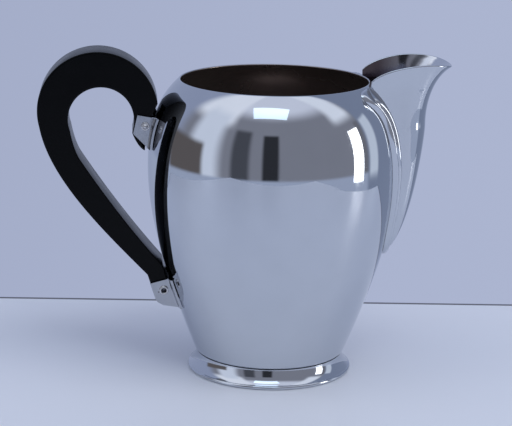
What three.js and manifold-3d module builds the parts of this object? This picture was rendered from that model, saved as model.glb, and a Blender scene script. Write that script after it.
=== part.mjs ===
// A chrome-plated serving jug: a spun body on a flared foot, an open beaked spout with a
// double-ribbed border, and a black slab handle riveted between four sheet lugs.
// Millimetres, +Z up, the spout towards +X and the handle towards -X. The origin is at
// table level, in the middle of the whole object's plan. Outlines are given from the axis
// of the spun body, which stands AXIS_X in front of the origin.
import * as THREE from 'three';
import { mergeVertices } from 'three/addons/utils/BufferGeometryUtils.js';
import Module from 'manifold-3d';

const wasm = await Module();
wasm.setup();

// Driving dimensions
const AXIS_X = 10.9;
const SHEET = 0.8;
const GAP = 0.3;
const ROUND_STEPS = 60;
const PROFILE_STEPS = 8;

const RIM_RADIUS = 35.7;
const RIM_HEIGHT = 112.5;
const BELLY_RADIUS = 47.45;
const BELLY_HEIGHT = 79.5;
const WAIST_RADIUS = 28.8;
const WAIST_HEIGHT = 7.9;
const BASE_HEIGHT = 7.2;
const BASE_RADIUS = 27.6;

const FOOT_RADIUS = 31.5;
const FOOT_LIP = 1.6;
const COLLAR_INNER = 24;

const STRAINER_HOLE = 1.8;
const STRAINER_PITCH = 6.6;
const STRAINER_LOW = 66;
const STRAINER_ROWS = 6;

const HANDLE_THICKNESS = 17;
const HANDLE_ROUND = 0.4;
const HEAD_CENTRE = [-66.1, 101];
const HEAD_RADIUS = 22.4;
const LOOP_CENTRE = [-64.9, 98];
const LOOP_RADIUS = 12.2;

const UPPER_RIVET = { x: -48.5, z: 96, shank: 0.85, head: 1.6, dome: 0.9, bore: 0 };
const LOWER_RIVET = { x: -41.2, z: 32.8, shank: 1.2, head: 1.8, dome: 0.45, bore: 0.85 };

// Outlines as cubic curves: start, two handles, end
const RIM_POINT = [RIM_RADIUS, RIM_HEIGHT];
const BELLY_POINT = [BELLY_RADIUS, BELLY_HEIGHT];
const SHOULDER = [RIM_POINT, [47.6, 102], [BELLY_RADIUS, 86.8], BELLY_POINT];
const BELLY = [BELLY_POINT, [BELLY_RADIUS, 65.4], [44.3, 45.7], [WAIST_RADIUS, WAIST_HEIGHT]];
// (half width, height) of the spout's crease and of its border's outer edge, on the body
const CREASE = [[0, 47.4], [17.5, 47.4], [12.2, 74], [14.3, 111.4]];
const BORDER_SIDE = [[0, 45.2], [18.5, 45.6], [17.8, 64], [21.3, 89]];
const BORDER_TOP = [[21.3, 89], [22.3, 97], [20.9, 100.5], [23.2, 105.6]];
const BORDER_EAR = [[23.2, 105.6], [25.6, 109.6], [23.6, 111.6], [18.5, 111.6]];
// Height of the crease above the body, at the bottom and at the top, and of the border's ribs
const CREASE_LIFT = [2.2, 1.2];
const RIB_LIFT = 1.2;
// The keel, and the mouth's edge from beside the rim to the tip, seen from the side
const KEEL_LOW = [[42.5, 47], [52.6, 51], [57.4, 90.5], [57.3, 96.5]];
const KEEL_HIGH = [[57.3, 96.5], [57.2, 101.6], [58, 113.1], [66.6, 118.1]];
const MOUTH_BACK = [[33.6, 112], [35, 116.5], [44.5, 119.8], [54, 120.2]];
const MOUTH_TIP = [[54, 120.2], [60.2, 120.3], [64.2, 119.3], [66.8, 118.2]];
// The spout's nose round its keel opens up between two heights. Its length and how square it
// is are given below them and above them: a squareness of 2 is an ellipse.
const NOSE_SPAN = [105, 120];
const NOSE_LENGTH = [10, 24];
const NOSE_SQUARE = [2.3, 2];
const NOSE_EASE = 2.5;
const NOSE_BLEND = 2;
// How much the cheeks go on spreading above the crease
const FLARE = 0.17;
// Heights between which the spout's skin and its hollow are drawn, before they are trimmed
const SKIN_SPAN = [49.4, 121.5];
const HOLLOW_SPAN = [51, 123];
const LEAST_REACH = 0.3;
const SPOUT_ROWS = 26;
const SECTION_STEPS = 24;
const SECTION_DEPTH = 9;
const CLEAR_ABOVE = 20;
const BODY_CLEARANCE = 0.42;
// The border's inner side runs this far past the crease, into the cheek
const BORDER_TUCK = 1.15;
const BORDER_COLUMNS = 8;
const FULL_RIB_WIDTH = 7;
// Shares of the border's width against shares of its two rib waves
const RIB_PLACES = [[0, 0], [0.15, 0.25], [0.38, 0.5], [0.58, 0.75], [0.92, 1]];
const BORDER_ROWS = 26;

const CHROME = { color: 0xc9ced8, roughness: 0.06, metalness: 1 };
const BLACK = { color: 0x14151a, roughness: 0.45, metalness: 0 };
const STEEL = { color: 0xb4b2b6, roughness: 0.2, metalness: 1 };

// Curves
function curve2(points) {
  const [a, b, c, d] = points.map(([x, y]) => new THREE.Vector2(x, y));
  return new THREE.CubicBezierCurve(a, b, c, d);
}

function joined(curves) {
  const path = new THREE.CurvePath();
  curves.forEach((curve) => path.add(curve));
  return path;
}

// The body's outer profile, from the waist up to the rim, as (radius, height)
function bodyProfile(steps) {
  const belly = curve2(BELLY).getPoints(steps).reverse();
  const shoulder = curve2(SHOULDER).getPoints(steps).reverse();
  return [...belly, ...shoulder.slice(1)];
}

const finePath = bodyProfile(120);

// The distance out along a rising path at a height, carried straight on past its ends
function outAt(path, height) {
  const found = path.findIndex((point) => point.y >= height);
  const next = found < 0 ? path.length - 1 : Math.max(found, 1);
  const low = path[next - 1];
  const high = path[next];
  return THREE.MathUtils.mapLinear(height, low.y, high.y, low.x, high.x);
}

function bodyRadius(height) {
  return outAt(finePath, THREE.MathUtils.clamp(height, WAIST_HEIGHT, RIM_HEIGHT));
}

// A point above the body's surface, given its side position and height
function onBody(side, height, lift) {
  const step = 0.5;
  const radius = bodyRadius(height);
  const rise = bodyRadius(Math.min(height + step, RIM_HEIGHT)) - bodyRadius(height - step);
  const slope = rise / (Math.min(height + step, RIM_HEIGHT) - height + step);
  const length = Math.hypot(1, slope);
  const angle = Math.asin(side / radius);
  const out = radius + lift / length;
  return new THREE.Vector3(out * Math.cos(angle), out * Math.sin(angle), height - (lift * slope) / length);
}

// Solids
function toSolid(geometry) {
  const bare = geometry.clone();
  bare.deleteAttribute('normal');
  bare.deleteAttribute('uv');
  const merged = mergeVertices(bare, 1e-4);
  return new wasm.Manifold(new wasm.Mesh({
    numProp: 3,
    vertProperties: new Float32Array(merged.attributes.position.array),
    triVerts: new Uint32Array(merged.index.array),
  }));
}

function toGeometry(solid) {
  const mesh = solid.getMesh();
  const geometry = new THREE.BufferGeometry();
  geometry.setAttribute('position', new THREE.BufferAttribute(mesh.vertProperties, 3));
  geometry.setIndex(new THREE.BufferAttribute(mesh.triVerts, 1));
  geometry.computeVertexNormals();
  return geometry;
}

// A turned solid about the Z axis, its profile listed anticlockwise as (radius, height)
function turned(profile) {
  const points = profile.map(([radius, height]) => new THREE.Vector2(radius, height));
  return new THREE.LatheGeometry(points, ROUND_STEPS).rotateX(Math.PI / 2);
}

// A closed skin through a row of rings, each ring with the same number of points
function loft(rings) {
  const count = rings[0].length;
  const positions = rings.flat().flatMap((point) => point.toArray());
  const index = [];
  for (let row = 0; row < rings.length - 1; row += 1) {
    for (let col = 0; col < count; col += 1) {
      const a = row * count + col;
      const b = row * count + ((col + 1) % count);
      index.push(a, a + count, b, b, a + count, b + count);
    }
  }
  for (const [ring, first] of [[rings[0], 0], [rings.at(-1), (rings.length - 1) * count]]) {
    const middle = positions.length / 3;
    const centre = ring.reduce((sum, point) => sum.add(point), new THREE.Vector3()).divideScalar(count);
    positions.push(...centre.toArray());
    for (let col = 0; col < count; col += 1) {
      const pair = [first + col, first + ((col + 1) % count)];
      index.push(middle, ...(first === 0 ? pair : pair.reverse()));
    }
  }
  const geometry = new THREE.BufferGeometry();
  geometry.setAttribute('position', new THREE.Float32BufferAttribute(positions, 3));
  geometry.setIndex(index);
  return geometry;
}

function bar(radius, length, sides) {
  return new THREE.CylinderGeometry(radius, radius, length, sides);
}

// Body
function bodyShell() {
  const outer = bodyProfile(PROFILE_STEPS);
  const inner = outer.map((point, i) => {
    const before = outer[Math.max(i - 1, 0)];
    const after = outer[Math.min(i + 1, outer.length - 1)];
    const along = after.clone().sub(before).normalize();
    return [point.x - SHEET * along.y, point.y + SHEET * along.x];
  });
  const floor = BASE_HEIGHT + SHEET;
  inner[0] = [BASE_RADIUS - 0.2, floor];
  inner[inner.length - 1] = [RIM_RADIUS - SHEET, RIM_HEIGHT];
  const profile = [
    [0, BASE_HEIGHT],
    [BASE_RADIUS, BASE_HEIGHT],
    ...outer.map((point) => [point.x, point.y]),
    ...inner.reverse(),
    [0, floor],
  ];
  let shell = toSolid(turned(profile));
  strainerHoles().forEach((hole) => {
    shell = shell.subtract(toSolid(hole));
  });
  return toGeometry(shell);
}

// Staggered rows of pouring holes through the wall behind the spout
function strainerHoles() {
  const holes = [];
  for (let row = 0; row < STRAINER_ROWS; row += 1) {
    const count = row % 2 ? 2 : 3;
    const height = STRAINER_LOW + row * STRAINER_PITCH * 0.866;
    for (let i = 0; i < count; i += 1) {
      const turn = ((i - (count - 1) / 2) * STRAINER_PITCH) / BELLY_RADIUS;
      const hole = bar(STRAINER_HOLE, 8, 12).rotateZ(Math.PI / 2);
      hole.translate(bodyRadius(height), 0, height).rotateZ(turn);
      holes.push(hole);
    }
  }
  return holes;
}

// A flared ring with a flat collar under the body's base
function footRing() {
  const top = BASE_HEIGHT - GAP;
  const flare = curve2([[BASE_RADIUS + 0.5, top], [28.4, 4.6], [29.3, 2.9], [30.9, FOOT_LIP]]).getPoints(5);
  const inside = flare.slice(1).reverse().map((point) => [point.x - SHEET - 0.1, point.y - 0.3]);
  return turned([
    [COLLAR_INNER, top],
    [COLLAR_INNER, top - SHEET],
    [BASE_RADIUS - 0.5, top - SHEET],
    ...inside.reverse(),
    [FOOT_RADIUS - 1.1, 0],
    [FOOT_RADIUS - 0.1, 0],
    [FOOT_RADIUS, 0.7],
    ...flare.reverse().map((point) => [point.x, point.y]),
    [COLLAR_INNER, top],
  ]);
}

// Spout: level sections of two cheeks round a keel, cut off along the mouth's edge
const creasePath = curve2(CREASE).getPoints(80);
const keelPath = joined([curve2(KEEL_LOW), curve2(KEEL_HIGH)]).getPoints(40);

// A ring round one level section, its walls drawn inset, closed off inside the body
function spoutSection(height, inset) {
  const low = CREASE[0][1];
  const high = CREASE[3][1];
  const level = Math.min(height, high);
  const crease = outAt(creasePath, level);
  const start = onBody(crease, level, THREE.MathUtils.mapLinear(level, low, high, ...CREASE_LIFT)).x;
  const halfWidth = crease + FLARE * (height - level) - inset;
  const lean = outAt(keelPath, height + 0.5) - outAt(keelPath, height - 0.5);
  const keel = outAt(keelPath, height) - inset * Math.hypot(1, lean);
  const share = THREE.MathUtils.mapLinear(height, ...NOSE_SPAN, 0, 1);
  const openUp = THREE.MathUtils.clamp(share, 0, 1) ** NOSE_EASE;
  const tail = keel - THREE.MathUtils.lerp(...NOSE_LENGTH, openUp);
  const root = Math.min((start + tail + Math.hypot(start - tail, NOSE_BLEND)) / 2, keel - LEAST_REACH);
  const power = 2 / THREE.MathUtils.lerp(...NOSE_SQUARE, openUp);
  const steps = SECTION_STEPS * 3;
  const curve = [];
  for (let i = 0; i <= steps; i += 1) {
    const turn = Math.PI * (0.5 - i / steps);
    const out = root + (keel - root) * Math.abs(Math.cos(turn)) ** power;
    const side = halfWidth * Math.sign(Math.sin(turn)) * Math.abs(Math.sin(turn)) ** power;
    curve.push(new THREE.Vector3(out, side, height));
  }
  const ring = new THREE.CatmullRomCurve3(curve).getSpacedPoints(SECTION_STEPS);
  const back = start - SECTION_DEPTH - inset;
  ring.push(new THREE.Vector3(back, -halfWidth, height), new THREE.Vector3(back, halfWidth, height));
  return ring;
}

function spoutVolume(inset, low, high) {
  const rings = [];
  for (let row = 0; row <= SPOUT_ROWS; row += 1) {
    rings.push(spoutSection(THREE.MathUtils.lerp(low, high, (row / SPOUT_ROWS) ** 1.3), inset));
  }
  return toSolid(loft(rings));
}

// The open space above the mouth's edge
function mouthSpace() {
  const edge = joined([curve2(MOUTH_BACK), curve2(MOUTH_TIP)]).getPoints(14);
  const [back, tip] = [edge[0], edge.at(-1)];
  const above = RIM_HEIGHT + CLEAR_ABOVE;
  const front = tip.x + CLEAR_ABOVE;
  const frame = [[front, tip.y - 1], [front, above], [0, above], [0, back.y]];
  const shape = new THREE.Shape([...edge, ...frame.map(([x, z]) => new THREE.Vector2(x, z))]);
  return toSolid(upright(shape, 2 * BELLY_RADIUS, 0, 0, 1));
}

// The solid that the spout has to stay clear of: the body and the space above its mouth
function bodyEnvelope() {
  const outer = bodyProfile(PROFILE_STEPS * 2);
  const profile = outer.map((point) => [point.x + BODY_CLEARANCE, point.y]);
  const above = RIM_HEIGHT + CLEAR_ABOVE;
  return toSolid(turned([[0, WAIST_HEIGHT], ...profile, [RIM_RADIUS + BODY_CLEARANCE, above], [0, above]]));
}

// Where a place across the border falls in its two rib waves
function ribShare(across) {
  const path = RIB_PLACES.map(([place, share]) => ({ x: share, y: place }));
  return Math.min(outAt(path, across), 1);
}

// The border: a strip round the spout with two raised ribs, lying on the body
function spoutBorder() {
  const outline = joined([curve2(BORDER_SIDE), curve2(BORDER_TOP), curve2(BORDER_EAR)]);
  const crease = curve2(CREASE);
  const rings = [];
  for (let row = -BORDER_ROWS; row <= BORDER_ROWS; row += 1) {
    const t = Math.abs(row) / BORDER_ROWS;
    const hand = row < 0 ? -1 : 1;
    const outside = outline.getPoint(t);
    const inside = crease.getPointAt(t);
    const width = outside.distanceTo(inside);
    const relief = RIB_LIFT * Math.min(width / FULL_RIB_WIDTH, 1);
    const rise = THREE.MathUtils.lerp(...CREASE_LIFT, t) - GAP - SHEET - 0.3;
    const top = [];
    const bottom = [];
    for (let col = 0; col <= BORDER_COLUMNS; col += 1) {
      const across = (col / BORDER_COLUMNS) * BORDER_TUCK;
      const place = outside.clone().lerp(inside, across);
      const rib = relief * Math.sin(2 * Math.PI * ribShare(across)) ** 2;
      const side = hand * Math.max(place.x, 0);
      top.push(onBody(side, place.y, GAP + SHEET + rise * Math.min(across, 1) + rib));
      bottom.unshift(onBody(side, place.y, GAP));
    }
    rings.push([...top, ...bottom]);
  }
  return toSolid(loft(rings));
}

function spout() {
  const skin = spoutVolume(0, ...SKIN_SPAN);
  const hollow = spoutVolume(SHEET, ...HOLLOW_SPAN);
  const cheeks = skin.subtract(hollow).subtract(bodyEnvelope()).subtract(mouthSpace());
  return toGeometry(cheeks.add(spoutBorder()));
}

// Handle
function onArc([x, z], radius, angle) {
  return [x + radius * Math.cos(angle), z + radius * Math.sin(angle)];
}

function handleOutline() {
  const start = 0.14;
  const loopStart = 3.49;
  const shape = new THREE.Shape();
  shape.absarc(...HEAD_CENTRE, HEAD_RADIUS, start, 3.4, false);
  shape.bezierCurveTo(-84.1, 75.5, -64.5, 56, -47.4, 38.4);
  shape.lineTo(-46.3, 35.1);
  shape.quadraticCurveTo(-44.8, 28.8, -41.8, 28.2);
  shape.lineTo(-36.9, 28.2);
  shape.quadraticCurveTo(-39.7, 35.2, -41.8, 42.2);
  shape.quadraticCurveTo(-57.4, 60, -72.1, 82.1);
  shape.bezierCurveTo(-74.4, 85.2, -75.7, 90.2, ...onArc(LOOP_CENTRE, LOOP_RADIUS, loopStart));
  shape.absarc(...LOOP_CENTRE, LOOP_RADIUS, loopStart, 0.35, true);
  shape.bezierCurveTo(-52.3, 99, -52.6, 96, -53.3, 93.1);
  shape.bezierCurveTo(-52.5, 90.8, -50.5, 87.2, -48.6, 86.5);
  shape.quadraticCurveTo(-47.9, 96.2, ...onArc(HEAD_CENTRE, HEAD_RADIUS, start));
  return shape;
}

function rivetHole(rivet) {
  const hole = bar(rivet.shank + GAP, HANDLE_THICKNESS + 10, 16);
  return toSolid(hole.translate(rivet.x, 0, rivet.z));
}

// Stands an outline drawn in (x, height) upright, with its thickness centred on the side position
function upright(shape, thickness, side, round, steps) {
  const points = shape.getPoints(steps);
  const corners = points.filter((point, i) => point.distanceTo(points.at(i - 1)) > 0.05);
  const geometry = new THREE.ExtrudeGeometry(new THREE.Shape(corners), {
    depth: thickness - 2 * round,
    bevelEnabled: round > 0,
    bevelThickness: round,
    bevelSize: round,
    bevelOffset: -round,
    bevelSegments: 1,
  });
  return geometry.translate(0, 0, round - thickness / 2).rotateX(Math.PI / 2).translate(0, side, 0);
}

function handle() {
  const slab = toSolid(upright(handleOutline(), HANDLE_THICKNESS, 0, HANDLE_ROUND, 9));
  return toGeometry(slab.subtract(rivetHole(UPPER_RIVET)).subtract(rivetHole(LOWER_RIVET)));
}

// Lugs: a cheek beside the handle with a narrow foot that lies on the body
const CHEEK_INNER = HANDLE_THICKNESS / 2 + GAP;
const FLANGE_WIDTH = 3.2;

function besideBody(height) {
  return -Math.sqrt((bodyRadius(height) + GAP + 0.1) ** 2 - CHEEK_INNER ** 2);
}

function cheekOutline(outer, low, high) {
  const shape = new THREE.Shape();
  shape.moveTo(besideBody(low), low);
  const steps = 4;
  for (let i = 1; i <= steps; i += 1) {
    const height = THREE.MathUtils.lerp(low, high, i / steps);
    shape.lineTo(besideBody(height), height);
  }
  outer.forEach(([x, height]) => shape.lineTo(x, height));
  return shape;
}

function lugFoot(low, high) {
  const rings = [];
  const steps = 4;
  for (let row = 0; row <= steps; row += 1) {
    const height = THREE.MathUtils.lerp(low, high, row / steps);
    const place = (part, lift) => {
      const point = onBody(CHEEK_INNER + 0.1 + part * FLANGE_WIDTH, height, lift);
      point.x = -point.x;
      return point;
    };
    const below = [0, 0.5, 1].map((part) => place(part, GAP));
    const above = [0, 0.5, 1].map((part) => place(part, GAP + SHEET));
    rings.push([...above, ...below.reverse()]);
  }
  return toSolid(loft(rings));
}

function lug(outer, low, high, rivet, hand) {
  const cheek = toSolid(upright(cheekOutline(outer, low, high), SHEET, CHEEK_INNER + SHEET / 2, 0, 6));
  let solid = cheek.add(lugFoot(low, high)).subtract(rivetHole(rivet));
  if (hand < 0) {
    solid = solid.mirror([0, 1, 0]);
  }
  return toGeometry(solid);
}

function upperLug(hand) {
  return lug([[-51.4, 100.1], [-53, 93.1], [-47.4, 87.6]], 87.4, 99, UPPER_RIVET, hand);
}

function lowerLug(hand) {
  const outer = [[-40.4, 37.4], [-46.4, 35.3], [-44.4, 29.4], [-43.6, 28.1], [-41.5, 26.9]];
  return lug(outer, 26, 37.2, LOWER_RIVET, hand);
}

// Rivets: a shank across the handle with a head over each cheek, and a bore in a hollow one
function rivet({ x, z, shank, head, dome, bore }) {
  const under = CHEEK_INNER + SHEET + GAP;
  const rim = 0.35;
  const cap = [[head, under], [head, under + rim], [head * 0.6, under + dome]];
  const side = [[shank, -under], [shank, under], ...cap];
  const below = cap.map(([radius, height]) => [radius, -height]).reverse();
  const crown = under + dome + (bore > 0 ? 0 : 0.15);
  const profile = [[bore, -crown], ...below, ...side, [bore, crown]];
  if (bore > 0) {
    profile.push([bore, -crown]);
  }
  const points = profile.map(([radius, height]) => new THREE.Vector2(radius, height));
  return new THREE.LatheGeometry(points, 16).translate(x, 0, z);
}

function mesh(name, geometry, finish) {
  const piece = new THREE.Mesh(geometry, new THREE.MeshStandardMaterial(finish));
  piece.name = name;
  return piece;
}

const jug = new THREE.Group();
jug.position.x = AXIS_X;
jug.add(
  mesh('body_shell', bodyShell(), CHROME),
  mesh('foot_ring', footRing(), CHROME),
  mesh('spout', spout(), CHROME),
  mesh('handle', handle(), BLACK),
  mesh('upper_lug_left', upperLug(1), CHROME),
  mesh('upper_lug_right', upperLug(-1), CHROME),
  mesh('lower_lug_left', lowerLug(1), CHROME),
  mesh('lower_lug_right', lowerLug(-1), CHROME),
  mesh('upper_rivet', rivet(UPPER_RIVET), STEEL),
  mesh('lower_rivet', rivet(LOWER_RIVET), STEEL),
);

export default jug;
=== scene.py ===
import math

import bmesh
import bpy
import numpy as np
from mathutils import Matrix, Vector


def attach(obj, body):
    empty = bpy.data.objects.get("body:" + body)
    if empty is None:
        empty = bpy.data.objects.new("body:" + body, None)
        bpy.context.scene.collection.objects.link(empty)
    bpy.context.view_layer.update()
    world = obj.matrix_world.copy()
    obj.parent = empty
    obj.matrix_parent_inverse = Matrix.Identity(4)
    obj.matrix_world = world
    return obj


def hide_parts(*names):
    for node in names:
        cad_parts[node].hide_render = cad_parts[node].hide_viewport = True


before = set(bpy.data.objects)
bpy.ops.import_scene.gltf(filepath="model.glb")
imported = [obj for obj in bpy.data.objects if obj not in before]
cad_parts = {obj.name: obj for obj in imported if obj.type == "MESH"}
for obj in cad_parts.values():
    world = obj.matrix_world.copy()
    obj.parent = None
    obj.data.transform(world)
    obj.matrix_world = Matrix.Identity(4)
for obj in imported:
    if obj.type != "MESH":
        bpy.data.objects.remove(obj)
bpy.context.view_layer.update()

# ---------------------------------------------------------------- sizes, mm
MM = 0.001
AXIS_X = 10.9
SHEET = 0.8
GAP = 0.3

RIM = (35.7, 112.5)
BELLY = (47.45, 79.5)
WAIST = (28.8, 7.9)
BASE_HEIGHT = 7.2
BASE_RADIUS = 27.6
SHOULDER_CURVE = (RIM, (47.6, 102), (47.45, 86.8), BELLY)
BELLY_CURVE = (BELLY, (47.45, 65.4), (44.3, 45.7), WAIST)

FOOT_FLARE = ((28.1, 6.9), (28.4, 4.6), (29.3, 2.9), (30.9, 1.6))
FOOT_RADIUS = 31.5
COLLAR_INNER = 24
FOOT_EDGE = 0.8

# Pouring holes through the wall behind the spout, in rows of three and two
HOLE_ROWS = 6
HOLE_RADIUS = 1.8
HOLE_SPACING = 6.6
ROW_SPACING = HOLE_SPACING * 0.866
LOWEST_HOLE = 66
CUTTER_REACH = 4

HANDLE_THICKNESS = 17
HANDLE_ROUNDING = 0.4
HEAD_CENTRE = (-66.1, 101)
HEAD_RADIUS = 22.4
LOOP_CENTRE = (-64.9, 98)
LOOP_RADIUS = 12.2

CHEEK_INNER = HANDLE_THICKNESS / 2 + GAP
FLANGE_WIDTH = 3.2
BEND_RADIUS = 0.5
LUG_BEVEL = 0.26
UPPER_RIVET = (-48.5, 96)
LOWER_RIVET = (-41.2, 32.8)
UPPER_SHANK = 0.85
LOWER_SHANK = 1.2
EYELET_BORE = 0.85
RIVET_SIDES = 64

# The crease between cheek and border, and the border's outer edge: side positions and heights
CREASE = ((0, 47.4), (17.5, 47.4), (12.2, 74), (14.3, 111.4))
BORDER = (
    ((0, 45.2), (18.5, 45.6), (17.8, 64), (21.3, 89)),
    ((21.3, 89), (22.3, 97), (20.9, 100.5), (23.2, 105.6)),
    ((23.2, 105.6), (25.6, 109.6), (23.6, 111.6), (18.5, 111.6)),
)
# Height of the crease above the body, at the bottom and at the top, and of the border's ribs
CREASE_LIFT = (2.2, 1.2)
RIB_LIFT = 1.2
# The keel and the mouth's edge, seen from the side
KEEL = (
    ((42.5, 47), (52.6, 51), (57.4, 90.5), (57.3, 96.5)),
    ((57.3, 96.5), (57.2, 101.6), (58, 113.1), (66.6, 118.1)),
)
MOUTH_EDGE = (
    ((33.6, 112), (35, 116.5), (44.5, 119.8), (54, 120.2)),
    ((54, 120.2), (60.2, 120.3), (64.2, 119.3), (66.8, 118.2)),
)
LIP_DROP = 0.4
# The nose round the keel: its length and squareness low down and at the mouth
NOSE_SPAN = (105, 120)
NOSE_LENGTH = (10, 24)
NOSE_SQUARE = (2.3, 2.0)
NOSE_EASE = 2.5
NOSE_BLEND = 2
LEAST_REACH = 0.3
# How much the cheeks go on spreading above the crease
FLARE = 0.17
# Share of a section's turn that the flat of each cheek takes, past a quarter turn
FLAT = 1.0
SPOUT_BOTTOM = 49.6
SPACING_HEIGHT = 95.0
LIP_SPAN = (100.0, 121.5)
LIP_STEPS = 9
# Shares of the border's width, from its outer edge, and the shares of two rib waves there
RIB_PLACES = ((0, 0.15, 0.38, 0.58, 0.92), (0, 0.25, 0.5, 0.75, 1))
RIB_SHARPNESS = 1.25
RIB_FADE = (0.85, 1.0)
RIB_FADE_DEPTH = 0.75
FULL_RIB_WIDTH = 7
# The border's inner side runs this share past the crease, into the cheek
BORDER_TUCK = 1.15
BORDER_EDGE = 0.05
BORDER_PLATE = 0.3
CREASE_DROP = 0.3
# Height of the border's underside above the body
REST = 0.06


# ---------------------------------------------------------------- curves
def cubic(points, t):
    a, b, c, d = (np.array(p, float) for p in points)
    t = np.atleast_1d(np.asarray(t, float))[:, None]
    return (1 - t) ** 3 * a + 3 * (1 - t) ** 2 * t * b + 3 * (1 - t) * t**2 * c + t**3 * d


def along(curves, t):
    """Points at fractions t of the length of several curves joined end to end."""
    fine = np.linspace(0, 1, 601)
    points = np.vstack([cubic(c, fine)[(1 if i else 0) :] for i, c in enumerate(curves)])
    run = np.r_[0, np.cumsum(np.linalg.norm(np.diff(points, axis=0), axis=1))]
    where = np.atleast_1d(np.asarray(t, float)) * run[-1]
    return np.stack([np.interp(where, run, points[:, k]) for k in range(points.shape[1])], 1)


FINE = np.linspace(0, 1, 3001)
PROFILE = np.vstack([cubic(BELLY_CURVE, FINE)[::-1], cubic(SHOULDER_CURVE, FINE)[::-1][1:]])
SLOPE = np.gradient(PROFILE[:, 0], PROFILE[:, 1])


def body_radius(height):
    return np.interp(height, PROFILE[:, 1], PROFILE[:, 0])


def on_body(side, height, lift):
    """Points lifted above the body's surface, from their side position and height."""
    side, height, lift = np.broadcast_arrays(*(np.asarray(v, float) for v in (side, height, lift)))
    radius = body_radius(height)
    slope = np.interp(height, PROFILE[:, 1], SLOPE)
    length = np.hypot(1, slope)
    angle = np.arcsin(np.clip(side / radius, -1, 1))
    out = radius + lift / length
    return np.stack([out * np.cos(angle), out * np.sin(angle), height - lift * slope / length], -1)


# ---------------------------------------------------------------- meshes
def finish_mesh(name, mesh, materials, angle=35):
    for material in materials:
        mesh.materials.append(material)
    mesh.polygons.foreach_set("use_smooth", [True] * len(mesh.polygons))
    mesh.set_sharp_from_angle(angle=math.radians(angle))
    piece = bpy.data.objects.new(name, mesh)
    bpy.context.scene.collection.objects.link(piece)
    return piece


def grid_faces(rows, columns, first=0, wrap=True, wrap_rows=False):
    faces = []
    for row in range(rows if wrap_rows else rows - 1):
        below = first + row * columns
        above = first + ((row + 1) % rows) * columns
        for col in range(columns if wrap else columns - 1):
            nxt = (col + 1) % columns
            faces.append((below + col, below + nxt, above + nxt, above + col))
    return faces


def make_mesh(name, points, faces, indices=None):
    """A mesh from points in mm about the body's axis, welded and facing outward."""
    mesh = bpy.data.meshes.new(name)
    placed = (np.asarray(points, float) + (AXIS_X, 0, 0)) * MM
    mesh.from_pydata(placed.tolist(), [], faces)
    if indices is not None:
        mesh.polygons.foreach_set("material_index", indices)
    work = bmesh.new()
    work.from_mesh(mesh)
    bmesh.ops.remove_doubles(work, verts=work.verts, dist=1e-7)
    bmesh.ops.dissolve_degenerate(work, edges=work.edges, dist=1e-8)
    bmesh.ops.recalc_face_normals(work, faces=work.faces)
    work.to_mesh(mesh)
    work.free()
    return mesh


def turned(name, profile, materials, inside=None, segments=288, wrap=False, about=None, angle=35):
    """A turned piece: (radius, height) points round Z, or round a Y axis at about=(x, z)."""
    profile = np.asarray(profile, float)
    turn = np.linspace(0, 2 * math.pi, segments, endpoint=False)
    r, h = profile[:, 0][:, None], profile[:, 1][:, None]
    flat = np.broadcast_to(h, (len(profile), segments))
    if about is None:
        points = np.stack([r * np.cos(turn), r * np.sin(turn), flat], -1)
    else:
        points = np.stack([about[0] + r * np.cos(turn), flat, about[1] + r * np.sin(turn)], -1)
    faces = grid_faces(len(profile), segments, wrap_rows=wrap)
    indices = None
    if inside is not None:
        indices = [1 if f // segments in inside else 0 for f in range(len(faces))]
    mesh = make_mesh(name, points.reshape(-1, 3), faces, indices)
    return finish_mesh(name, mesh, materials, angle)


def cut(piece, cutters):
    """Cuts the cutters out of a piece and removes them."""
    for cutter in cutters:
        step = piece.modifiers.new("cut", "BOOLEAN")
        step.operation = "DIFFERENCE"
        step.solver = "EXACT"
        step.object = cutter
    apply_modifiers(piece)
    for cutter in cutters:
        bpy.data.objects.remove(cutter)


def apply_modifiers(piece):
    depsgraph = bpy.context.evaluated_depsgraph_get()
    done = bpy.data.meshes.new_from_object(piece.evaluated_get(depsgraph))
    piece.modifiers.clear()
    piece.data = done
    done.polygons.foreach_set("use_smooth", [True] * len(done.polygons))
    done.set_sharp_from_angle(angle=math.radians(35))


def rod(name, radius, start, end, sides=32):
    """A plain rod between two points, used as a cutter."""
    start, end = np.array(start, float), np.array(end, float)
    way = (end - start) / np.linalg.norm(end - start)
    helper = np.array([0, 0, 1.0]) if abs(way[2]) < 0.9 else np.array([1.0, 0, 0])
    u = np.cross(way, helper)
    u /= np.linalg.norm(u)
    v = np.cross(way, u)
    turn = np.linspace(0, 2 * math.pi, sides, endpoint=False)[:, None]
    ring = radius * (np.cos(turn) * u + np.sin(turn) * v)
    faces = grid_faces(2, sides)
    faces += [tuple(range(sides)), tuple(range(sides, 2 * sides))]
    mesh = make_mesh(name, np.vstack([start + ring, end + ring]), faces)
    return finish_mesh(name, mesh, [])


def arc_points(centre, radius, start, end, count):
    turn = np.linspace(start, end, count)
    return np.stack([centre[0] + radius * np.cos(turn), centre[1] + radius * np.sin(turn)], 1)


# ---------------------------------------------------------------- materials
def node_material(name):
    material = bpy.data.materials.new(name)
    material.use_nodes = True
    nodes, links = material.node_tree.nodes, material.node_tree.links
    return material, nodes, links, nodes["Principled BSDF"]


def noise(nodes, links, scale, detail=3.0, stretch=(1, 1, 1)):
    place = nodes.new("ShaderNodeTexCoord")
    mapping = nodes.new("ShaderNodeMapping")
    mapping.inputs["Scale"].default_value = stretch
    texture = nodes.new("ShaderNodeTexNoise")
    texture.inputs["Scale"].default_value = scale
    texture.inputs["Detail"].default_value = detail
    links.new(place.outputs["Object"], mapping.inputs["Vector"])
    links.new(mapping.outputs["Vector"], texture.inputs["Vector"])
    return texture.outputs["Fac"]


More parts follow.
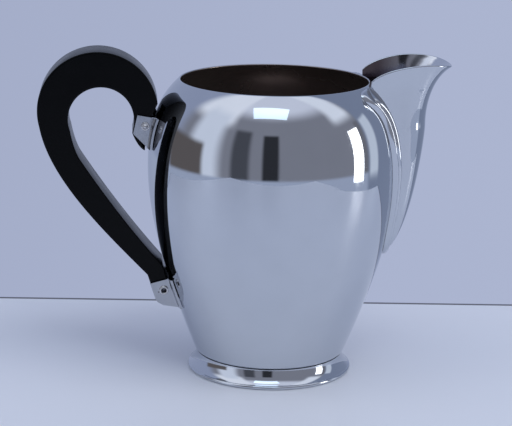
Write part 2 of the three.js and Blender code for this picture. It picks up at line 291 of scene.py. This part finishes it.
def spread(nodes, links, value, low, high, start=0.3, end=0.7):
    """Maps a noise value on to a range."""
    node = nodes.new("ShaderNodeMapRange")
    node.inputs["From Min"].default_value = start
    node.inputs["From Max"].default_value = end
    node.inputs["To Min"].default_value = low
    node.inputs["To Max"].default_value = high
    links.new(value, node.inputs["Value"])
    return node.outputs["Result"]


def blend_colours(nodes, links, factor, first, second):
    node = nodes.new("ShaderNodeMix")
    node.data_type = "RGBA"
    node.inputs["A"].default_value = (*first, 1)
    node.inputs["B"].default_value = (*second, 1)
    links.new(factor, node.inputs["Factor"])
    return node.outputs["Result"]


def relief(nodes, links, bsdf, height, distance, strength=1.0):
    node = nodes.new("ShaderNodeBump")
    node.inputs["Strength"].default_value = strength
    node.inputs["Distance"].default_value = distance
    links.new(height, node.inputs["Height"])
    links.new(node.outputs["Normal"], bsdf.inputs["Normal"])


def metal(name, light, dark, low, high, grain=90, wave=0.0):
    """Polished metal: faint cloudiness in its colour and gloss, with fine wipe marks."""
    material, nodes, links, bsdf = node_material(name)
    bsdf.inputs["Metallic"].default_value = 1.0
    cloud = noise(nodes, links, grain, 4)
    wipe = noise(nodes, links, 420, 2, (1, 1, 0.12))
    links.new(blend_colours(nodes, links, cloud, light, dark), bsdf.inputs["Base Color"])
    both = nodes.new("ShaderNodeMath")
    both.operation = "MULTIPLY"
    links.new(cloud, both.inputs[0])
    links.new(wipe, both.inputs[1])
    links.new(spread(nodes, links, both.outputs[0], low, high, 0.12, 0.42), bsdf.inputs["Roughness"])
    if wave:
        relief(nodes, links, bsdf, noise(nodes, links, 38, 1), wave)
    return material


chrome = metal("chrome", (0.605, 0.635, 0.685), (0.56, 0.59, 0.64), 0.015, 0.075, wave=0.00002)
# Chrome for the lugs, rougher than the body's; its darker base colour is painted shade
lug_chrome_with_painted_shade = metal("lug_chrome_with_painted_shade", (0.50, 0.515, 0.55), (0.40, 0.415, 0.45), 0.06, 0.2, 160)
rivet_steel = metal("rivet_steel", (0.70, 0.70, 0.71), (0.52, 0.51, 0.52), 0.12, 0.3, 300)

inner_metal, nodes, links, bsdf = node_material("tarnished_inside")
bsdf.inputs["Metallic"].default_value = 0.85
stain = noise(nodes, links, 55, 5)
brown = blend_colours(nodes, links, stain, (0.42, 0.35, 0.32), (0.24, 0.205, 0.19))
links.new(brown, bsdf.inputs["Base Color"])
links.new(spread(nodes, links, stain, 0.22, 0.31), bsdf.inputs["Roughness"])

spout_inside, nodes, links, bsdf = node_material("spout_inside")
bsdf.inputs["Metallic"].default_value = 1.0
where = nodes.new("ShaderNodeSeparateXYZ")
links.new(nodes.new("ShaderNodeTexCoord").outputs["Object"], where.inputs["Vector"])
# The inside of the spout is dark towards the body and bright chrome towards the tip, changing between X =
# 52 and 70 mm
outward = spread(nodes, links, where.outputs["X"], 0, 1, 0.052, 0.07)
darker_towards_body = blend_colours(nodes, links, outward, (0.16, 0.13, 0.14), (0.66, 0.685, 0.73))
links.new(darker_towards_body, bsdf.inputs["Base Color"])
links.new(spread(nodes, links, noise(nodes, links, 120, 4), 0.08, 0.2), bsdf.inputs["Roughness"])

black, nodes, links, bsdf = node_material("handle_black")
bsdf.inputs["Specular IOR Level"].default_value = 0.12
mottle = noise(nodes, links, 130, 5)
pits = noise(nodes, links, 1500, 2)
jet = blend_colours(nodes, links, mottle, (0.0011, 0.0013, 0.0017), (0.0022, 0.0024, 0.0032))
links.new(jet, bsdf.inputs["Base Color"])
links.new(spread(nodes, links, mottle, 0.2, 0.28), bsdf.inputs["Roughness"])
relief(nodes, links, bsdf, pits, 0.00002, 0.5)


# ---------------------------------------------------------------- body
def offset_profile(profile, distance):
    slope = np.gradient(profile, axis=0)
    slope /= np.linalg.norm(slope, axis=1)[:, None]
    return profile + distance * np.stack([-slope[:, 1], slope[:, 0]], 1)


def body_profile():
    steps = np.linspace(0, 1, 97)
    outer = np.vstack([cubic(BELLY_CURVE, steps)[::-1], cubic(SHOULDER_CURVE, steps)[::-1][1:]])
    inner = offset_profile(outer, SHEET)
    end = outer[-1] - outer[-2]
    end /= np.linalg.norm(end)
    trim = SHEET / 2
    outer[-1] -= end * trim
    inner[-1] -= end * trim
    middle = (outer[-1] + inner[-1]) / 2
    across = (outer[-1] - inner[-1]) / 2
    bends = np.linspace(0, math.pi, 13)[1:-1]
    lip = [middle + across * math.cos(a) + end * trim * math.sin(a) for a in bends]
    under = arc_points((WAIST[0] - 1.0, BASE_HEIGHT + 0.9), 0.9, -math.pi / 2, -0.25, 8)
    floor = BASE_HEIGHT + SHEET
    inner = inner[inner[:, 1] > floor + 1.8]
    corner = cubic((inner[0], inner[0] - (0.55, 1.2), (26.6, floor), (25, floor)), np.linspace(0, 1, 9))[1:]
    outside = np.vstack([[(0, BASE_HEIGHT)], under, outer, lip[:6]])
    inside = np.vstack([lip[6:], inner[::-1], corner, [(0, floor)]])
    return np.vstack([outside, inside]), len(outside)


profile, split = body_profile()
body = turned("jug_body", profile, [chrome, inner_metal], inside=range(split - 1, len(profile)))
holes = []
for row in range(HOLE_ROWS):
    count = 2 if row % 2 else 3
    height = LOWEST_HOLE + row * ROW_SPACING
    for i in range(count):
        turn = (i - (count - 1) / 2) * HOLE_SPACING / BELLY[0]
        reach = float(body_radius(height))
        way = np.array([math.cos(turn), math.sin(turn), 0])
        level = np.array([0, 0, height])
        start, end = (way * (reach + side * CUTTER_REACH) + level for side in (-1, 1))
        holes.append(rod(f"hole_{row}_{i}", HOLE_RADIUS, start, end))
cut(body, holes)
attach(body, "root")
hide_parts("body_shell")


# ---------------------------------------------------------------- foot
def foot_profile():
    top = BASE_HEIGHT - GAP
    flare = cubic(FOOT_FLARE, np.linspace(0, 1, 40))
    lip = arc_points((FOOT_RADIUS - FOOT_EDGE, FOOT_EDGE), FOOT_EDGE, 1.35, -math.pi / 2, 16)
    inside = offset_profile(flare[2:-6], -SHEET)[::-1]
    return np.vstack(
        [
            [(COLLAR_INNER, top), (BASE_RADIUS - 0.2, top)],
            flare,
            lip,
            [(FOOT_RADIUS - 1.2, 0.05), (FOOT_RADIUS - 1.5, 0.5)],
            inside,
            [(BASE_RADIUS - 0.6, top - SHEET), (COLLAR_INNER, top - SHEET)],
        ]
    )


foot = turned("flared_foot", foot_profile(), [chrome], wrap=True)
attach(foot, "root")
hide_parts("foot_ring")


# ---------------------------------------------------------------- spout
def unit(vectors):
    return vectors / np.maximum(np.linalg.norm(vectors, axis=-1, keepdims=True), 1e-9)


KEEL_PATH = along(KEEL, np.linspace(0, 1, 2001))
KEEL_END = (KEEL[1][3][0] - KEEL[1][2][0]) / (KEEL[1][3][1] - KEEL[1][2][1])
CREASE_PATH = cubic(CREASE, np.linspace(0, 1, 2001))
MOUTH_PATH = along(MOUTH_EDGE, np.linspace(0, 1, 2001))


def smooth_step(value, start, end):
    share = np.clip((value - start) / (end - start), 0, 1)
    return share * share * (3 - 2 * share)


def keel_reach(height):
    """How far out the keel is. Above its end it runs on straight."""
    over = np.maximum(height - KEEL_PATH[-1, 1], 0)
    return np.interp(height, KEEL_PATH[:, 1], KEEL_PATH[:, 0]) + over * KEEL_END


def spout_point(turn, height):
    """The outer skin at a turn round its level section: 0 on the keel, a quarter turn where
    the flat of the cheek starts, and a quarter turn plus FLAT on a crease."""
    low, high = CREASE[0][1], CREASE[3][1]
    level = np.minimum(height, high)
    rise = (level - low) / (high - low)
    half = np.interp(level, CREASE_PATH[:, 1], CREASE_PATH[:, 0])
    start = on_body(half, level, CREASE_LIFT[0] + (CREASE_LIFT[1] - CREASE_LIFT[0]) * rise)[..., 0]
    half = half + FLARE * (height - level)
    keel = keel_reach(height)
    open_up = np.clip((height - NOSE_SPAN[0]) / (NOSE_SPAN[1] - NOSE_SPAN[0]), 0, 1) ** NOSE_EASE
    length = NOSE_LENGTH[0] + (NOSE_LENGTH[1] - NOSE_LENGTH[0]) * open_up
    power = 2 / (NOSE_SQUARE[0] + (NOSE_SQUARE[1] - NOSE_SQUARE[0]) * open_up)
    root = keel - length
    root = (start + root + np.hypot(start - root, NOSE_BLEND)) / 2
    root = np.minimum(root, keel - LEAST_REACH)
    bend = np.minimum(np.abs(turn), math.pi / 2)
    flat = (np.abs(turn) - bend) / FLAT
    out = root + (keel - root) * np.cos(bend) ** power - flat * (root - start)
    side = half * np.sign(turn) * np.sin(bend) ** power
    return np.stack([out, side, height + 0 * out], -1)


def spout_turns(columns):
    """Turns spaced evenly along one section of the spout."""
    turn = np.linspace(-math.pi / 2 - FLAT, math.pi / 2 + FLAT, 4001)
    section = spout_point(turn, np.full(len(turn), SPACING_HEIGHT))
    run = np.r_[0, np.cumsum(np.linalg.norm(np.diff(section, axis=0), axis=1))]
    return np.interp(np.linspace(0, run[-1], columns), run, turn)


def lip_height(turn):
    """The height where the mouth's edge cuts the skin, found by halving."""
    low, high = (np.full(len(turn), height) for height in LIP_SPAN)
    for _ in range(40):
        middle = (low + high) / 2
        out = spout_point(turn, middle)[..., 0]
        below = middle < np.interp(out, MOUTH_PATH[:, 0], MOUTH_PATH[:, 1]) - LIP_DROP
        low = np.where(below, middle, low)
        high = np.where(below, high, middle)
    return low


def spout_walls(rows=220, columns=201):
    """One sheet bent round the keel, thickened inward, with a rounded lip along its mouth."""
    turn = spout_turns(columns)
    rise = np.linspace(0, 1, rows)[:, None]
    height = SPOUT_BOTTOM + (lip_height(turn)[None] - SPOUT_BOTTOM) * rise
    turns = np.broadcast_to(turn, height.shape)
    skin = spout_point(turns, height)
    up = unit(np.gradient(skin, axis=0))
    across = unit(np.gradient(skin, axis=1))
    normal = unit(np.cross(across, up))
    normal *= np.sign(normal[rows // 2, columns // 2, 0])
    inner = skin - normal * SHEET
    round_lip = []
    middle = (skin[-1] + inner[-1]) / 2
    for angle in np.linspace(0, math.pi, LIP_STEPS + 2)[1:-1]:
        way = math.cos(angle) * normal[-1] + math.sin(angle) * up[-1]
        round_lip.append(middle + SHEET / 2 * way)
    sheet = np.concatenate([skin, np.array(round_lip), inner[::-1]], axis=0)
    count = len(sheet)
    rings = sheet.transpose(1, 0, 2)
    faces = grid_faces(columns, count)
    walls = (columns - 1) * count
    for first in (0, walls):
        last = first + count - 1
        faces += [(first + i, first + i + 1, last - 1 - i, last - i) for i in range(count // 2 - 1)]
    inside = [int(i < walls and i % count >= rows + LIP_STEPS) for i in range(len(faces))]
    return rings.reshape(-1, 3), faces, inside


def border_strip(rows=260, columns=44):
    """The ribbed strip round the spout, from one ear under the keel to the other."""
    t = np.abs(np.linspace(-1, 1, 2 * rows + 1))
    hand = np.sign(np.linspace(-1, 1, 2 * rows + 1))
    outside = along(BORDER, t)
    inside = along([CREASE], t)
    width = np.linalg.norm(outside - inside, axis=1)
    fade = 1 - RIB_FADE_DEPTH * smooth_step(t, *RIB_FADE)
    ribs = RIB_LIFT * np.minimum(width / FULL_RIB_WIDTH, 1) * fade
    rise = CREASE_LIFT[0] + (CREASE_LIFT[1] - CREASE_LIFT[0]) * t - REST - SHEET - CREASE_DROP
    across = np.linspace(0, BORDER_TUCK, columns)
    place = outside[:, None] * (1 - across[None, :, None]) + inside[:, None] * across[None, :, None]
    side = np.maximum(place[..., 0], 0) * hand[:, None]
    wave = np.abs(np.sin(2 * np.pi * np.interp(across, *RIB_PLACES))) ** RIB_SHARPNESS
    edge = np.minimum(across / BORDER_EDGE, 1)
    rounding = np.sqrt(1 - (1 - edge) ** 2)
    plate = SHEET * (0.5 * rounding + 0.5 * smooth_step(across, 0, BORDER_PLATE))
    height = REST + plate + rise[:, None] * np.minimum(across, 1) + ribs[:, None] * (wave * rounding)
    top = on_body(side, place[..., 1], height)
    bottom = on_body(side, place[..., 1], REST)
    rings = np.concatenate([top, bottom[:, ::-1][:, :-1]], axis=1)
    count = rings.shape[1]
    faces = grid_faces(len(rings), count)
    last = (len(rings) - 1) * count
    faces += [tuple(range(count)), tuple(range(last, last + count))]
    return rings.reshape(-1, 3), faces


wall_points, wall_faces, wall_inside = spout_walls()
strip_points, strip_faces = border_strip()
shift = len(wall_points)
faces = wall_faces + [tuple(i + shift for i in face) for face in strip_faces]
inside = wall_inside + [0] * len(strip_faces)
mesh = make_mesh("beaked_spout", np.vstack([wall_points, strip_points]), faces, inside)
spout = finish_mesh("beaked_spout", mesh, [chrome, spout_inside], 50)
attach(spout, "root")
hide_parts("spout")


# ---------------------------------------------------------------- handle
def handle_outline():
    head = arc_points(HEAD_CENTRE, HEAD_RADIUS, 0.14, 3.4, 110)
    loop = arc_points(LOOP_CENTRE, LOOP_RADIUS, 3.49, 0.35, 70)
    fine = np.linspace(0, 1, 60)
    few = np.linspace(0, 1, 14)

    def quad(a, b, c, t):
        a, b, c = (np.array(p, float) for p in (a, b, c))
        t = t[:, None]
        return (1 - t) ** 2 * a + 2 * t * (1 - t) * b + t**2 * c

    runs = [
        head,
        cubic((head[-1], (-84.1, 75.5), (-64.5, 56), (-47.4, 38.4)), fine)[1:],
        quad((-46.3, 35.1), (-44.8, 28.8), (-41.8, 28.2), few),
        quad((-36.9, 28.2), (-39.7, 35.2), (-41.8, 42.2), few),
        quad((-41.8, 42.2), (-57.4, 60), (-72.1, 82.1), fine)[1:],
        cubic(((-72.1, 82.1), (-74.4, 85.2), (-75.7, 90.2), loop[0]), few)[1:-1],
        loop,
        cubic((loop[-1], (-52.3, 99), (-52.6, 96), (-53.3, 93.1)), few)[1:],
        cubic(((-53.3, 93.1), (-52.5, 90.8), (-50.5, 87.2), (-48.6, 86.5)), few)[1:],
        quad((-48.6, 86.5), (-47.9, 96.2), head[0], few)[1:-1],
    ]
    return np.vstack(runs)


def inset(outline, distance):
    """The outline drawn in by a distance, along the bisector at each corner."""
    before = unit(outline - np.roll(outline, 1, axis=0))
    after = unit(np.roll(outline, -1, axis=0) - outline)
    normal = unit(np.stack([-(before + after)[:, 1], (before + after)[:, 0]], 1))
    lean = np.clip((normal * np.stack([-after[:, 1], after[:, 0]], 1)).sum(1), 0.5, 1)
    return outline + normal * (distance / lean)[:, None]


def slab(name, outline, thickness, rounding, materials):
    """A flat slab standing in the XZ plane, its edges rounded."""
    turn = np.linspace(0, math.pi / 2, 6)
    levels = [(rounding * 2.2, thickness / 2)]
    levels += [(rounding * (1 - math.sin(a)), thickness / 2 - rounding * (1 - math.cos(a))) for a in turn]
    levels += [(d, -y) for d, y in reversed(levels)]
    rows = []
    for distance, y in levels:
        ring = inset(outline, distance)
        rows.append(np.stack([ring[:, 0], np.full(len(ring), y), ring[:, 1]], 1))
    count = len(outline)
    faces = grid_faces(len(rows), count)
    last = (len(rows) - 1) * count
    faces += [tuple(range(count)), tuple(range(last, last + count))]
    return finish_mesh(name, make_mesh(name, np.vstack(rows), faces), materials)


handle = slab("loop_handle", handle_outline(), HANDLE_THICKNESS, HANDLE_ROUNDING, [black])
bores = []
for i, ((x, z), shank) in enumerate(((UPPER_RIVET, UPPER_SHANK), (LOWER_RIVET, LOWER_SHANK))):
    bores.append(rod(f"bore_{i}", shank + GAP, (x, -HANDLE_THICKNESS, z), (x, HANDLE_THICKNESS, z)))
cut(handle, bores)
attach(handle, "root")
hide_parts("handle")


# ---------------------------------------------------------------- lugs
def lug(name, outer, low, high, rivet, shank, hand):
    """A bent plate: a cheek beside the handle and a narrow flange on the body."""
    outer = np.array(outer, float)
    sides = np.linalg.norm(np.diff(outer, axis=0), axis=1)
    run = np.r_[0, np.cumsum(sides)] / sides.sum()
    levels = np.unique(np.r_[np.linspace(0, 1, 25), run])
    turn = np.linspace(0, 1, 7)
    rings = []
    for v in levels:
        height = low + v * (high - low)
        start = np.array([np.interp(v, run, outer[:, 0]), np.interp(v, run, outer[:, 1])])
        radius = float(body_radius(height))

        def path(y, lift, curl):
            reach = radius + lift
            foot_y = np.linspace(y + curl, CHEEK_INNER + FLANGE_WIDTH, 8)
            foot = np.stack([-np.sqrt(reach**2 - foot_y**2), foot_y], 1)
            corner = np.array([-math.sqrt(reach**2 - y**2), y])
            into = corner - (curl, 0)
            curve = [(1 - t) ** 2 * into + 2 * t * (1 - t) * corner + t**2 * foot[0] for t in turn]
            cheek = np.stack([np.linspace(start[0], into[0], 6)[:-1], np.full(5, y)], 1)
            return np.vstack([cheek, curve, foot[1:]])

        front = path(CHEEK_INNER + SHEET, GAP + SHEET, BEND_RADIUS)
        back = path(CHEEK_INNER, GAP, BEND_RADIUS + SHEET)
        loop = np.vstack([front, back[::-1]])
        span = (loop[:, 0] - start[0]) / max(front[10, 0] - start[0], 0.1)
        z = start[1] + np.clip(span, 0, 1) * (height - start[1])
        rings.append(np.stack([loop[:, 0], hand * loop[:, 1], z], 1))
    count, half = len(rings[0]), len(rings[0]) // 2
    faces = grid_faces(len(rings), count)
    for first in (0, (len(rings) - 1) * count):
        last = first + count - 1
        faces += [(first + i, first + i + 1, last - 1 - i, last - i) for i in range(half - 1)]
    piece = finish_mesh(name, make_mesh(name, np.vstack(rings), faces), [lug_chrome_with_painted_shade])
    x, z = rivet
    cut(piece, [rod(name + "_bore", shank + GAP, (x, hand * 5, z), (x, hand * 14, z))])
    edge = piece.modifiers.new("edges", "BEVEL")
    edge.width = LUG_BEVEL * MM
    edge.segments = 2
    edge.limit_method = "ANGLE"
    edge.angle_limit = math.radians(45)
    edge.harden_normals = True
    return piece


UPPER_OUTER = [(-47.4, 87.6), (-53, 93.1), (-51.4, 100.1)]
LOWER_OUTER = [(-41.5, 26.9), (-43.6, 28.1), (-44.4, 29.4), (-46.4, 35.3)]
for side, hand in (("left", 1), ("right", -1)):
    upper = lug(f"upper_plate_{side}", UPPER_OUTER, 87.4, 99, UPPER_RIVET, UPPER_SHANK, hand)
    lower = lug(f"lower_plate_{side}", LOWER_OUTER, 26, 37.2, LOWER_RIVET, LOWER_SHANK, hand)
    for piece, node in ((upper, f"upper_lug_{side}"), (lower, f"lower_lug_{side}")):
        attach(piece, "root")
        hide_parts(node)


# ---------------------------------------------------------------- rivets
def mirrored(half):
    """A whole rivet profile from its far half."""
    half = np.asarray(half, float)
    return np.vstack([half, (half * (1, -1))[::-1]])


face = CHEEK_INNER + SHEET + GAP
crown = arc_points((0, face + 0.25), 0.95, math.pi / 2, 0.1, 12)
collar = arc_points((1.38, face + 0.18), 0.2, math.pi / 2, -math.pi / 2, 8)
domed = np.vstack([crown[:-1], [(1.02, face + 0.36)], collar, [(UPPER_SHANK, face - 0.02)]])
upper_rivet = turned(
    "domed_rivet", mirrored(domed), [rivet_steel], segments=RIVET_SIDES, about=UPPER_RIVET
)
roll = arc_points((1.35, face + 0.05), 0.42, math.pi * 0.95, -math.pi / 2, 14)
eyelet = np.vstack([[(EYELET_BORE, 0), (EYELET_BORE, face - 0.4)], roll, [(LOWER_SHANK, face - 0.42)]])
lower_rivet = turned(
    "eyelet_rivet",
    mirrored(eyelet),
    [rivet_steel],
    segments=RIVET_SIDES,
    wrap=True,
    about=LOWER_RIVET,
)
for piece, node in ((upper_rivet, "upper_rivet"), (lower_rivet, "lower_rivet")):
    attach(piece, "root")
    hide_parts(node)


# ---------------------------------------------------------------- tabletop
# In metres, counter-clockwise from the front left corner
TABLE_OUTLINE = [(-0.38, -0.45), (0.295, -0.45), (0.360, 0.067), (-0.400, 0.1095)]
TABLE_THICKNESS = 0.022
# Width of the strip of painted shadow along the table's back edge, in metres
SHADOW_STRIP = 0.0022


def tabletop():
    """A slab under the jug, with a strip of painted shadow along its back edge, where it meets the
    backdrop.
    """
    right, left = TABLE_OUTLINE[2:]
    front = [*TABLE_OUTLINE[:2], (right[0], right[1] - SHADOW_STRIP), (left[0], left[1] - SHADOW_STRIP)]
    count = len(TABLE_OUTLINE)
    points = [(x, y, 0) for x, y in [*front, right, left]]
    points += [(x, y, -TABLE_THICKNESS) for x, y in TABLE_OUTLINE]
    faces = [tuple(range(count)), (count - 1, count - 2, count, count + 1)]
    rim = [0, 1, count, count + 1]
    base = count + 2
    for i in range(count):
        following = (i + 1) % count
        faces.append((rim[i], rim[following], base + following, base + i))
    faces.append(tuple(range(base + count - 1, base - 1, -1)))
    mesh = bpy.data.meshes.new("tabletop")
    mesh.from_pydata(points, [], faces)
    mesh.polygons.foreach_set("material_index", [int(i == 1) for i in range(len(faces))])
    return finish_mesh("tabletop", mesh, [])


table_white, nodes, links, bsdf = node_material("table_white")
haze = noise(nodes, links, 9, 3)
white = blend_colours(nodes, links, haze, (0.80, 0.83, 0.91), (0.76, 0.79, 0.87))
links.new(white, bsdf.inputs["Base Color"])
links.new(spread(nodes, links, haze, 0.3, 0.4), bsdf.inputs["Roughness"])
bsdf.inputs["Specular IOR Level"].default_value = 0.4
# Painted shadow: a dark strip where the table's back edge meets the backdrop
painted_gap_shadow, nodes, links, bsdf = node_material("painted_gap_shadow")
gap_shadow_colour = blend_colours(nodes, links, noise(nodes, links, 40), (0.10, 0.10, 0.12), (0.16, 0.165, 0.19))
links.new(gap_shadow_colour, bsdf.inputs["Base Color"])
table = tabletop()
table.data.materials.append(table_white)
table.data.materials.append(painted_gap_shadow)


# ---------------------------------------------------------------- studio
AIM_HEIGHT = 0.09


def softbox(name, azimuth, elevation, distance, width, height, colour, power):
    """A soft light facing the body from a direction; azimuth 0 is in front, 90 on the right."""
    a, e = math.radians(azimuth), math.radians(elevation)
    target = Vector((AXIS_X * MM, 0, AIM_HEIGHT))
    way = Vector((math.sin(a) * math.cos(e), -math.cos(a) * math.cos(e), math.sin(e)))
    light = bpy.data.lights.new(name, "AREA")
    light.shape = "RECTANGLE"
    light.size, light.size_y = width, height
    light.color = colour
    light.energy = power
    lamp = bpy.data.objects.new(name, light)
    lamp.location = target + way * distance
    lamp.rotation_mode = "QUATERNION"
    lamp.rotation_quaternion = (-way).to_track_quat("-Z", "Y")
    bpy.context.scene.collection.objects.link(lamp)
    return lamp


softbox("roof_light", -9, 59, 2.4, 1.15, 0.66, (0.66, 0.86, 1.0), 2.9)
fill = softbox("fill_light", 35, 50, 1.7, 1.3, 1.3, (0.96, 0.98, 1.0), 9)
fill.visible_glossy = False
softbox("side_window", 79, 5, 2.2, 0.46, 1.35, (1.0, 1.0, 1.0), 7)


# Soft panels round the jug for the metal to mirror: name, azimuths, elevations, softness and
# colour, in degrees. Azimuth 0 is in front, 90 on the right; elevation 0 is level. A later
# panel covers an earlier one.
PANELS = [
    ("ceiling", (-300, 300), (53, 200), 9, (0.80, 0.84, 0.98)),
    ("left_ceiling", (-112, -50), (36, 200), 7, (0.98, 1.02, 1.13)),
    ("left_wall", (-88, -56), (-40, 48), 7, (0.80, 0.86, 1.0)),
    ("left_back", (-300, -104), (-40, 200), 9, (0.36, 0.41, 0.57)),
    ("right_ceiling", (64, 90), (34, 200), 6, (0.95, 1.0, 1.12)),
    ("left_flag", (-112, -72), (-40, 12), 3, (0.14, 0.125, 0.125)),
    ("tall_flag", (-43, -26), (-40, 33), 3, (0.085, 0.09, 0.11)),
    ("dark_flag", (-14, 1), (-40, 30), 2, (0.035, 0.037, 0.045)),
    ("right_flag", (85, 92), (-40, 27), 1.5, (0.20, 0.205, 0.24)),
    ("floor", (-300, 300), (-200, -9.5), 1, (0.44, 0.50, 0.655)),
    ("right_back", (92, 300), (-200, 200), 3, (0.25, 0.295, 0.415)),
    ("right_wall", (94, 106), (-11, 26), 2, (0.70, 0.77, 0.90)),
    ("far_back_right", (152, 300), (-200, 200), 12, (0.36, 0.41, 0.57)),
    ("far_back_left", (-300, -152), (-200, 200), 12, (0.36, 0.41, 0.57)),
]
WALL_GREY = (0.27, 0.28, 0.335)
BACKDROP = ((0.355, 0.40, 0.56), (0.415, 0.465, 0.635))


def room():
    """A plain pale backdrop, and soft panels all round that only the jug mirrors."""
    world = bpy.data.worlds.new("room")
    bpy.context.scene.world = world
    world.use_nodes = True
    nodes, links = world.node_tree.nodes, world.node_tree.links
    background = nodes["Background"]
    place = nodes.new("ShaderNodeTexCoord")
    parts = nodes.new("ShaderNodeSeparateXYZ")
    links.new(place.outputs["Generated"], parts.inputs["Vector"])

    def calculate(operation, *values):
        node = nodes.new("ShaderNodeMath")
        node.operation = operation
        for socket, value in zip(node.inputs, values):
            if isinstance(value, (int, float)):
                socket.default_value = value
            else:
                links.new(value, socket)
        return node.outputs[0]

    def step(value, middle, softness):
        node = nodes.new("ShaderNodeMapRange")
        node.interpolation_type = "SMOOTHSTEP"
        node.inputs["From Min"].default_value = middle - softness
        node.inputs["From Max"].default_value = middle + softness
        links.new(value, node.inputs["Value"])
        return node.outputs["Result"]

    def band(value, limits, softness):
        above, below = (step(value, limit, softness) for limit in limits)
        return calculate("SUBTRACT", above, below)

    def mix(factor, first, second):
        node = nodes.new("ShaderNodeMix")
        node.data_type = "RGBA"
        for socket, colour in (("A", first), ("B", second)):
            if isinstance(colour, tuple):
                node.inputs[socket].default_value = (*colour, 1)
            else:
                links.new(colour, node.inputs[socket])
        links.new(factor, node.inputs["Factor"])
        return node.outputs["Result"]

    forward = calculate("MULTIPLY", parts.outputs["Y"], -1)
    azimuth = calculate("DEGREES", calculate("ARCTAN2", parts.outputs["X"], forward))
    elevation = calculate("DEGREES", calculate("ARCSINE", parts.outputs["Z"]))
    mirrored_room = WALL_GREY
    for _, azimuths, elevations, softness, colour in PANELS:
        sideways = band(azimuth, azimuths, softness)
        cover = calculate("MULTIPLY", sideways, band(elevation, elevations, softness))
        mirrored_room = mix(cover, mirrored_room, colour)
    backdrop = mix(step(parts.outputs["X"], 0, 0.3), *BACKDROP)
    rays = nodes.new("ShaderNodeLightPath")
    links.new(mix(rays.outputs["Is Camera Ray"], mirrored_room, backdrop), background.inputs["Color"])
    background.inputs["Strength"].default_value = 1.0


room()

# ---------------------------------------------------------------- camera
DISTANCE, CAMERA_HEIGHT = 691.9, 230.9
SENSOR_WIDTH, LENS = 36, 131.15
PITCH, YAW, ROLL, TURN = (math.radians(v) for v in (13.837, -0.502, 1.068, 4.5))
forward = Vector((math.sin(YAW) * math.cos(PITCH), math.cos(YAW) * math.cos(PITCH), -math.sin(PITCH)))
right = Vector((math.cos(YAW), -math.sin(YAW), 0))
upward = right.cross(forward)
tilted_right = right * math.cos(ROLL) + upward * math.sin(ROLL)
tilted_up = upward * math.cos(ROLL) - right * math.sin(ROLL)
spin = Matrix.Rotation(-TURN, 3, "Z")
axes = [spin @ v for v in (tilted_right, tilted_up, -forward)]
camera = bpy.data.objects.new("camera", bpy.data.cameras.new("camera"))
camera.data.sensor_width = SENSOR_WIDTH
camera.data.lens = LENS
place = spin @ Vector((0, -DISTANCE, CAMERA_HEIGHT)) + Vector((AXIS_X, 0, 0))
rotation = Matrix(axes).transposed()
camera.matrix_world = Matrix.Translation(place * MM) @ rotation.to_4x4()
bpy.context.scene.collection.objects.link(camera)
bpy.context.scene.camera = camera
bpy.context.scene.view_settings.view_transform = "Standard"

# ---------------------------------------------------------------- update the scene
bpy.context.view_layer.update()
